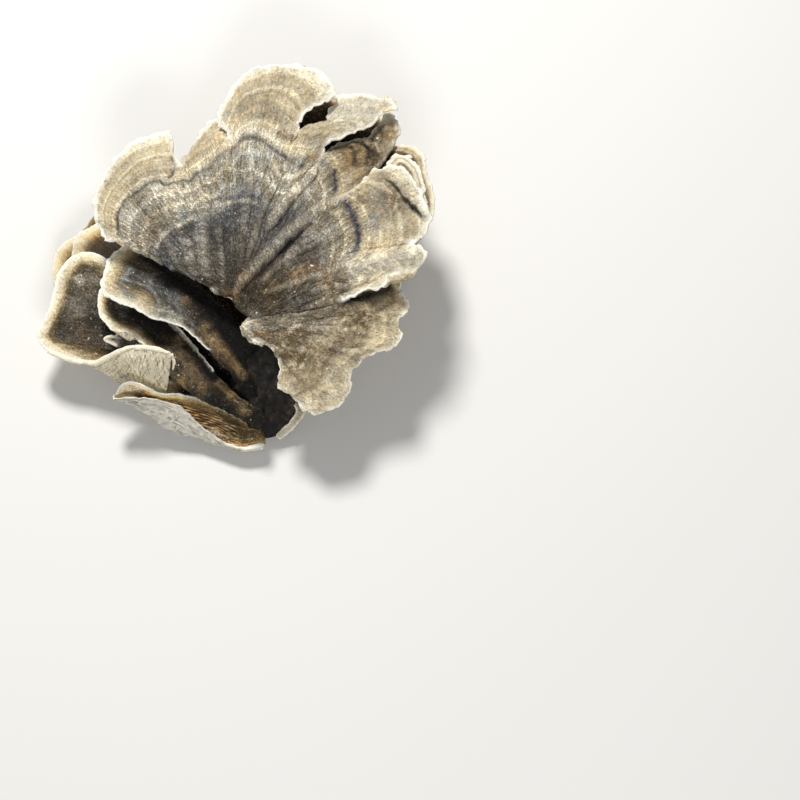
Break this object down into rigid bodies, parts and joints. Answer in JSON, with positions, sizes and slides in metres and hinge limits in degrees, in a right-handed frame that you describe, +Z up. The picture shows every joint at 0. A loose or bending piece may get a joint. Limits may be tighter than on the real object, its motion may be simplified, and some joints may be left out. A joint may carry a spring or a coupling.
{
  "type": "turkey tail fungus",
  "caption": "Dried turkey tail fungus cluster: a broad lobed cap over a stack of smaller thin caps on a corky stump, cut off flat to rest on a table.",
  "frame": {"origin": "middle of the cluster's outline, on the surface it rests on", "axes": "+Z up from the stump's cut face; -X towards the smaller caps; +Y towards the great cap's far lobes"},
  "size_m": [0.1006, 0.0955, 0.034],
  "materials": {
    "corky_stump": "rough, corky",
    "grey_zoned_cap": "matt, velvety, with grey and cream zones",
    "brown_zoned_cap": "matt, velvety, with brown zones",
    "pale_zoned_cap": "matt, pale with faint zones",
    "dark_velvet_cap": "matt, velvety, nearly black with a cream margin",
    "fibrous_cap": "matt, fibrous, golden brown",
    "golden_cap": "matt, golden at the margin and brown inside",
    "pale_flesh": "matt, pale torn flesh"
  },
  "bodies": {
    "root": {"stump": "corky_stump", "great_cap": "grey_zoned_cap", "under_cap": "brown_zoned_cap", "right_shelf": "pale_zoned_cap", "upper_tongue_cap": "dark_velvet_cap", "lower_tongue_cap": "dark_velvet_cap", "rolled_cap": "dark_velvet_cap", "narrow_rolled_cap": "fibrous_cap", "upper_back_cap": "golden_cap", "lower_back_cap": "golden_cap", "bottom_cap": "brown_zoned_cap", "torn_strip": "pale_flesh"}
  },
  "joints": []
}
